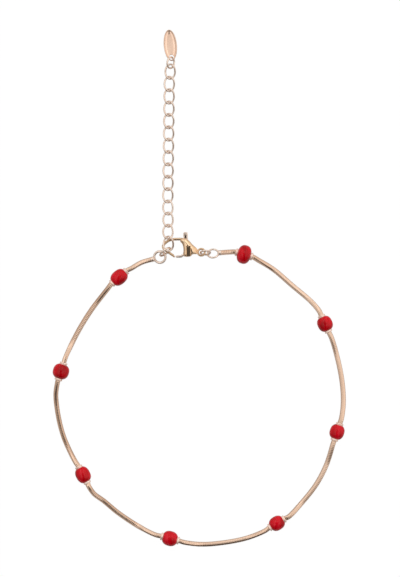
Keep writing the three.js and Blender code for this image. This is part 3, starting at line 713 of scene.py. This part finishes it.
def tag_surface():
    """The tag lying level with its hole at the origin: raised border and slightly dished field."""
    middle = TAG_LENGTH / 2 - (TAG_HOLE / 2 + TAG_HOLE_EDGE)
    turn = full_turn(TAG_SIDES)
    half, border = TAG_THICKNESS / 2, TAG_BORDER
    top = half + TAG_BORDER_RISE
    # inset from the rim and height of each row, from the underside over the border to the field's middle
    rows = [(0.08, -half), (0.0, -half + 0.07), (0.0, top - 0.08), (0.07, top), (0.22, top),
            (border - 0.03, half + 0.02), (border + 0.04, half - 0.02), (border + 0.25, half - 0.09),
            (border + 0.5, half - 0.13), (border + 0.8, half - 0.15), (border + 1.1, half - 0.155)]
    points = np.vstack([np.stack([(TAG_WIDTH / 2 - inset) * np.cos(turn),
                                  middle + (TAG_LENGTH / 2 - inset) * np.sin(turn),
                                  np.full(TAG_SIDES, height)], axis=-1) for inset, height in rows])
    return points, tube_faces(len(rows), TAG_SIDES)


def make_tag():
    ring_radius = (TAG_RING_DIAMETER - TAG_RING_WIRE) / 2
    hook = ring_radius - (LINK_WIRE + TAG_RING_WIRE) / 2 - TAG_RING_PLAY
    place, turn = extender[-1]
    centre = place + turn @ link_curve(TAG_RING_ON_LAST_LINK / 360) - ring_offset(
        hook, TAG_RING, LAST_LINK_ON_TAG_RING)
    centre[2] = resting_height(TAG_RING_DIAMETER, TAG_RING_WIRE, TAG_RING[1])
    wire = ring_mesh(centre, TAG_RING_DIAMETER, TAG_RING_WIRE, TAG_RING, TAG_RING_CUT)
    ring = add_mesh("tag_jump_ring", *wire, rose_gold)
    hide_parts("jump_ring_tag")

    hole_to_end = TAG_HOLE / 2 + TAG_HOLE_EDGE
    sunk = centre[2] - TAG_THICKNESS / 2 - FLOOR_CLEARANCE
    slope = math.asin(sunk / (TAG_LENGTH - hole_to_end))
    placement = euler(-math.degrees(slope), 0, TAG_TURN)
    origin = centre + ring_offset(ring_radius, TAG_RING, 0)
    points, faces = tag_surface()
    tag = add_mesh("oval_tag", points @ placement.T + origin, faces, tag_gold)
    points, faces = drum((0, 0), TAG_HOLE / 2, -TAG_DRILL_REACH, TAG_DRILL_REACH)
    cut(tag, [(points @ placement.T + origin, faces)])
    edge_bevel(tag, TAG_BEVEL, segments=2, angle=40)
    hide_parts("tag")


# Booleans and rounded edges for the cast pieces
def apply_modifiers(piece):
    evaluated = piece.evaluated_get(bpy.context.evaluated_depsgraph_get())
    mesh = bpy.data.meshes.new_from_object(evaluated)
    old = piece.data
    piece.modifiers.clear()
    piece.data = mesh
    bpy.data.meshes.remove(old)


def cut(piece, solids):
    for points, faces in solids:
        cutter = new_object("cutter", points, faces)
        modifier = piece.modifiers.new("cut", "BOOLEAN")
        modifier.operation = "DIFFERENCE"
        modifier.solver = "EXACT"
        modifier.object = cutter
        apply_modifiers(piece)
        mesh = cutter.data
        bpy.data.objects.remove(cutter)
        bpy.data.meshes.remove(mesh)


def shade(piece, sharp_angle):
    piece.data.shade_smooth()
    piece.data.set_sharp_from_angle(angle=math.radians(sharp_angle))


def edge_bevel(piece, width, segments, angle):
    modifier = piece.modifiers.new("round", "BEVEL")
    modifier.width = width * MM
    modifier.segments = segments
    modifier.limit_method = "ANGLE"
    modifier.angle_limit = math.radians(angle)
    modifier.harden_normals = False
    apply_modifiers(piece)
    shade(piece, BEVEL_SHARP_ANGLE)


def clasp_point(share):
    return np.array([eye[0] + share[0] * CLASP_LENGTH, eye[1] + share[1] * CLASP_LENGTH])


def smooth_outline(shares, per_corner=4):
    """Rounds an outline's corners lightly, keeping it inside the corners."""
    corners = np.array([clasp_point(share) for share in shares])
    count = len(corners)
    rows = []
    for i in range(count):
        a, b, c = corners[i - 1], corners[i], corners[(i + 1) % count]
        start = b + (a - b) * min(CORNER_SHARE, CORNER_REACH / np.linalg.norm(a - b))
        end = b + (c - b) * min(CORNER_SHARE, CORNER_REACH / np.linalg.norm(c - b))
        for t in np.linspace(0, 1, per_corner):
            rows.append((1 - t) ** 2 * start + 2 * t * (1 - t) * b + t ** 2 * end)
    return np.array(rows)


def prism(outline, low, high):
    count = len(outline)
    points = np.vstack([np.column_stack([outline, np.full(count, low)]),
                        np.column_stack([outline, np.full(count, high)])])
    faces = [tuple(range(count)), tuple(range(count, 2 * count))]
    faces += [(i, (i + 1) % count, count + (i + 1) % count, count + i) for i in range(count)]
    return points, faces


def box(x0, x1, y0, y1, z0, z1):
    outline = np.array([[x0, y0], [x1, y0], [x1, y1], [x0, y1]])
    return prism(outline, z0, z1)


def drum(centre, radius, z0, z1):
    turn = full_turn(DRUM_SIDES)
    outline = np.column_stack([centre[0] + radius * np.cos(turn), centre[1] + radius * np.sin(turn)])
    return prism(outline, z0, z1)


pivot = clasp_point(PIVOT)
slot_half = LEVER_THICKNESS / 2 + SLOT_CLEARANCE


def claw_sweep():
    corners = [(*clasp_point(share), clasp_middle) for share in [CLAW_ROOT] + CLAW_PATH]
    path = catmull_rom(corners, CLAW_STEPS)
    along = np.gradient(path, axis=0)
    along /= np.linalg.norm(along, axis=1, keepdims=True)
    across = np.stack([-along[:, 1], along[:, 0], np.zeros(len(along))], axis=-1)
    up = np.broadcast_to(UP, across.shape)
    places = np.concatenate([[0], np.cumsum(np.linalg.norm(np.diff(path, axis=0), axis=1))])
    size = 1 + (CLAW_TIP_TAPER - 1) * places / places[-1]
    return sweep(path, across, up, size * CLAW_WIDTH / 2, size * CLAW_THICKNESS / 2, CLAW_SIDES, False)


def finely(outline, spacing):
    rows = []
    for a, b in zip(outline, np.roll(outline, -1, axis=0)):
        count = max(1, int(np.linalg.norm(b - a) / spacing))
        rows += [a + (b - a) * i / count for i in range(count)]
    return np.array(rows)


def distance_to(outline, points):
    nearest = np.full(len(points), np.inf)
    for a, b in zip(outline, np.roll(outline, -1, axis=0)):
        edge = b - a
        t = np.clip((points - a) @ edge / (edge @ edge), 0, 1)
        nearest = np.minimum(nearest, np.linalg.norm(points - a - t[:, None] * edge, axis=1))
    return nearest


def inside(outline, points):
    crossings = np.zeros(len(points), int)
    for a, b in zip(outline, np.roll(outline, -1, axis=0)):
        level_with = (a[1] > points[:, 1]) != (b[1] > points[:, 1])
        at = a[0] + (points[:, 1] - a[1]) / (b[1] - a[1] if b[1] != a[1] else 1) * (b[0] - a[0])
        crossings += level_with & (points[:, 0] < at)
    return crossings % 2 == 1


def pillow(outline, half_height, dip, spacing, lines):
    """A closed cushion on an outline, with rows of points along lines. half_height gives its height at each
    point and dip what the top loses."""
    outline = finely(outline, spacing)
    xs = np.sort(np.concatenate([np.arange(outline[:, 0].min(), outline[:, 0].max(), spacing), lines]))
    nearest = spacing * NEAREST_SHARE
    xs = np.array([x for x in xs if x in lines or min(abs(x - line) for line in lines) > nearest])
    ys = np.arange(outline[:, 1].min(), outline[:, 1].max(), spacing)
    grid = np.array([(x, y) for x in xs for y in ys])
    grid = grid[inside(outline, grid)]
    grid = grid[distance_to(outline, grid) > nearest]
    flat = [Vector(point) for point in np.vstack([outline, grid])]
    border = [(i, (i + 1) % len(outline)) for i in range(len(outline))]
    found, _, triangles, *_ = delaunay_2d_cdt(flat, border, [], 1, WELD_DISTANCE)
    plan = np.array([tuple(point) for point in found])
    height = half_height(plan, distance_to(outline, plan))
    top = np.column_stack([plan, clasp_middle + height - dip(plan, height)])
    under = np.column_stack([plan, clasp_middle - height])
    count = len(plan)
    faces = [tuple(face) for face in triangles]
    faces += [tuple(count + i for i in reversed(face)) for face in triangles]
    edges = dict.fromkeys((face[i], face[(i + 1) % 3]) for face in triangles for i in range(3))
    faces += [(b, a, count + a, count + b) for a, b in edges if (b, a) not in edges]
    return np.vstack([top, under]), faces


def make_clasp_body():
    tail_start, tail_end = (eye[0] + share * CLASP_LENGTH for share in TAIL_SHARES)
    band_left, band_right = (eye[0] + share * CLASP_LENGTH for share in BAND_SHARES)
    band_top = eye[1] + BAND_TOP * CLASP_LENGTH
    full, low = CLASP_THICKNESS / 2, EYE_THICKNESS / 2

    def half_height(plan, depth):
        away = 1 - np.clip(depth / BODY_ROUNDING, 0, 1)
        domed = full * (BODY_EDGE_SHARE + (1 - BODY_EDGE_SHARE) * np.sqrt(1 - away ** 2))
        tail = full + (low - full) * np.clip((plan[:, 0] - tail_start) / (tail_end - tail_start), 0, 1)
        return np.minimum(domed, tail * (1 - TAIL_EDGE_DROP * away ** 3))

    def dip(plan, height):
        x, y = plan.T
        from_left = np.clip((x - band_left) / BAND_STEP, 0, 1)
        from_right = np.clip((band_right - x) / BAND_STEP, 0, 1)
        floor = full - BAND_DEPTH - np.clip(band_top - y, 0, None) * BAND_FALL
        drop = np.maximum(height - floor, BAND_SHALLOWEST)
        return drop * np.minimum(from_left, from_right) * smoothstep(-y, -band_top, -band_top + BAND_FADE)

    lines = [band_left, band_left + BAND_STEP, band_right - BAND_STEP, band_right]
    outline = smooth_outline(BODY_OUTLINE, BODY_CORNER_STEPS)
    cushion = pillow(outline, half_height, dip, BODY_SPACING, lines)
    body = add_mesh("clasp_cast_body", *cushion, clasp_gold)
    slot_outline = np.array([clasp_point(share) for share in SLOT_OUTLINE])
    cut(body, [
        prism(slot_outline, clasp_middle - slot_half, clasp_middle + slot_half),
        drum(pivot, PIN_DIAMETER / 2 + BODY_PIN_PLAY, BELOW_CLASP, clasp_middle),
        drum(eye, EYE_HOLE / 2, BELOW_CLASP, ABOVE_CLASP),
    ])

    claw = add_mesh("clasp_claw", *claw_sweep(), clasp_gold)
    gate_reach = max(np.linalg.norm(clasp_point(share) - pivot) for share in LEVER_OUTLINE if share[1] < 0)
    reach = gate_reach + GATE_GAP
    turn = np.radians(np.linspace(180, 360, GATE_SECTOR_STEPS))
    sector = np.column_stack([pivot[0] + reach * np.cos(turn), pivot[1] + reach * np.sin(turn)])
    cut(claw, [prism(sector, BELOW_CLASP, ABOVE_CLASP)])

    eye_wire = (EYE_DIAMETER - EYE_HOLE) / 2
    points, faces = ring_mesh(eye, EYE_DIAMETER, eye_wire, (0, 0), steps=48)
    points[:, 2] = clasp_middle + (points[:, 2] - clasp_middle) * EYE_THICKNESS / eye_wire
    eye_ring = add_mesh("clasp_eye", points, faces, clasp_gold)
    for piece in (body, claw):
        shade(piece, CAST_SHARP_ANGLE)
    for piece in (body, claw, eye_ring):
        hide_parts("clasp_body")


def make_lever():
    half = LEVER_THICKNESS / 2
    plate = prism(smooth_outline(LEVER_OUTLINE), clasp_middle - half, clasp_middle + half)
    lever = add_mesh("clasp_trigger_plate", *plate, rose_gold, body=TRIGGER)
    edge_bevel(lever, LEVER_BEVEL, segments=4, angle=35)
    x, y, width, height = KNOB_SLOT
    knob = clasp_point((x, y))
    width, height = width * CLASP_LENGTH, height * CLASP_LENGTH
    cut(lever, [
        drum(pivot, PIN_DIAMETER / 2 + LEVER_PIN_PLAY, BELOW_CLASP, ABOVE_CLASP),
        box(knob[0] - width / 2, knob[0] + width / 2, knob[1] - height / 2, knob[1] + height / 2,
            clasp_middle, ABOVE_CLASP),
    ])
    shade(lever, CAST_SHARP_ANGLE)
    # The pocket's faces take the dark brown metal: painted shade inside the knob's pocket
    lever.data.materials.append(pocket_painted_shade)
    pocket_top = clasp_middle + half - POCKET_RIM
    for face in lever.data.polygons:
        x_off, y_off = (np.array(face.center[:2]) / MM - SHIFT[:2] - knob) / (width, height)
        if max(abs(x_off), abs(y_off)) < POCKET_REACH and face.center[2] / MM < pocket_top:
            face.material_index = 1
    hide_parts("clasp_lever")


def make_pin():
    radius = PIN_DIAMETER / 2
    top = clasp_middle + slot_half - PIN_TOP_PLAY
    profile = [(PIN_BORE, PIN_FOOT), (radius - PIN_CHAMFER, PIN_FOOT), (radius, PIN_CHAMFER), (radius, top),
               (PIN_BORE, top)]
    pin = add_mesh("clasp_rivet", *lathe(profile, np.array([*pivot, 0.0]), UP, PIN_SIDES), clasp_gold)
    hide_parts("clasp_pin")


make_chain()
make_end_rings()
make_beads()
make_jump_rings()
make_links()
make_tag()
make_clasp_body()
make_lever()
make_pin()


# Floor, light and camera
FLOOR_HALF = 12
FLOOR_BELOW = 0.00002
FLOOR_GLOW = 1.02
FLOOR_GLOW_SHARE = 0.97

# The light tent: its colours by height, and its strength from the dark slot in the middle out to the sides
SKY_COLOURS = [(0.0, srgb(196, 180, 168)), (0.2, srgb(216, 204, 194)), (0.55, srgb(238, 232, 227))]
SKY_ACROSS = [(0.07, grey(0.07)), (0.17, grey(0.16)), (0.28, grey(0.6)), (0.33, grey(1.0)),
              (0.39, grey(1.0)), (0.47, grey(0.56)), (1.0, grey(0.58))]
SKY_STRENGTH = 1.85
SLOT_BACK_STRENGTH = 0.6
# Where a change of strength begins and ends, and its values there
SLOT_BACK = (0.06, 0.38, 0, 1)
SKY_FRONT = (-0.75, -0.1, 0.2, 1)
SKY_LEFT = (-0.97, -0.6, 0.7, 1)
SKY_RIGHT = (0.5, 0.9, 1, 1.3)

CAMERA_DISTANCE = 1.2
CAMERA_NEAREST = 0.01
SENSOR_HEIGHT = 24
PHOTO_HEIGHT = 0.14425


def make_floor():
    """White paper, which the camera sees a little brighter than the light makes it."""
    mesh = bpy.data.meshes.new("floor")
    size = FLOOR_HALF
    mesh.from_pydata([(-size, -size, 0), (size, -size, 0), (size, size, 0), (-size, size, 0)], [],
                     [(0, 1, 2, 3)])
    floor = bpy.data.objects.new("floor", mesh)
    floor.location.z = -FLOOR_BELOW
    bpy.context.scene.collection.objects.link(floor)
    material, nodes, links, shader = new_material("white_paper")
    shader.inputs["Base Color"].default_value = grey(0.62)
    shader.inputs["Roughness"].default_value = 0.9
    shader.inputs["Specular IOR Level"].default_value = 0.1
    glow = nodes.new("ShaderNodeEmission")
    glow.inputs["Strength"].default_value = FLOOR_GLOW
    path = nodes.new("ShaderNodeLightPath")
    share = math_node(nodes, links, "MULTIPLY", path.outputs["Is Camera Ray"], FLOOR_GLOW_SHARE)
    mix = nodes.new("ShaderNodeMixShader")
    links.new(share, mix.inputs["Fac"])
    links.new(shader.outputs["BSDF"], mix.inputs[1])
    links.new(glow.outputs["Emission"], mix.inputs[2])
    links.new(mix.outputs["Shader"], nodes["Material Output"].inputs["Surface"])
    mesh.materials.append(material)


def map_range(nodes, links, source, from_low, from_high, to_low, to_high):
    node = nodes.new("ShaderNodeMapRange")
    node.interpolation_type = "SMOOTHSTEP"
    node.inputs["From Min"].default_value = from_low
    node.inputs["From Max"].default_value = from_high
    node.inputs["To Min"].default_value = to_low
    node.inputs["To Max"].default_value = to_high
    links.new(source, node.inputs["Value"])
    return node.outputs["Result"]


def math_node(nodes, links, operation, first, second=None):
    node = nodes.new("ShaderNodeMath")
    node.operation = operation
    for socket, value in zip(node.inputs, (first, second)):
        if value is None:
            continue
        if isinstance(value, (int, float)):
            socket.default_value = value
        else:
            links.new(value, socket)
    return node.outputs["Value"]


def make_world():
    """A light tent: bright overhead, with a brighter strip on each side of a dark slot where the camera's
    stand is. The slot is lighter at the back, and the tent dimmer at the front and brighter on the right."""
    world = bpy.data.worlds.new("studio")
    bpy.context.scene.world = world
    world.use_nodes = True
    nodes, links = world.node_tree.nodes, world.node_tree.links
    coords = nodes.new("ShaderNodeTexCoord")
    split = nodes.new("ShaderNodeSeparateXYZ")
    links.new(coords.outputs["Generated"], split.inputs["Vector"])
    x, y, z = (split.outputs[axis] for axis in "XYZ")

    def multiply(first, second):
        return math_node(nodes, links, "MULTIPLY", first, second)

    colour = ramp(nodes, links, z, SKY_COLOURS)
    across = ramp(nodes, links, math_node(nodes, links, "ABSOLUTE", x), SKY_ACROSS)
    slot_back = multiply(map_range(nodes, links, y, *SLOT_BACK), SLOT_BACK_STRENGTH)
    open_sky = math_node(nodes, links, "MAXIMUM", across.outputs["Color"], slot_back)
    front = map_range(nodes, links, y, *SKY_FRONT)
    left = map_range(nodes, links, x, *SKY_LEFT)
    right = map_range(nodes, links, x, *SKY_RIGHT)
    sides = multiply(front, multiply(left, right))
    strength = multiply(multiply(open_sky, sides), SKY_STRENGTH)
    links.new(colour.outputs["Color"], nodes["Background"].inputs["Color"])
    links.new(strength, nodes["Background"].inputs["Strength"])


def add_light(name, place, target, size, power):
    data = bpy.data.lights.new(name, "AREA")
    data.shape = "RECTANGLE"
    data.size, data.size_y = size
    data.energy = power
    light = bpy.data.objects.new(name, data)
    light.location = place
    light.rotation_euler = (Vector(target) - Vector(place)).to_track_quat("-Z", "Y").to_euler()
    light.visible_glossy = False
    bpy.context.scene.collection.objects.link(light)


def make_camera():
    data = bpy.data.cameras.new("camera")
    data.sensor_fit = "VERTICAL"
    data.sensor_height = SENSOR_HEIGHT
    data.lens = SENSOR_HEIGHT * CAMERA_DISTANCE / PHOTO_HEIGHT
    data.clip_start = CAMERA_NEAREST
    camera = bpy.data.objects.new("camera", data)
    camera.location = (SHIFT[0] * MM, SHIFT[1] * MM, CAMERA_DISTANCE)
    bpy.context.scene.collection.objects.link(camera)
    bpy.context.scene.camera = camera


make_floor()
make_world()
add_light("overhead_panel", place=(0.0, 0.55, 0.75), target=(0, 0, 0), size=(0.7, 0.5), power=3.0)
make_camera()
bpy.context.scene.view_settings.view_transform = "Standard"
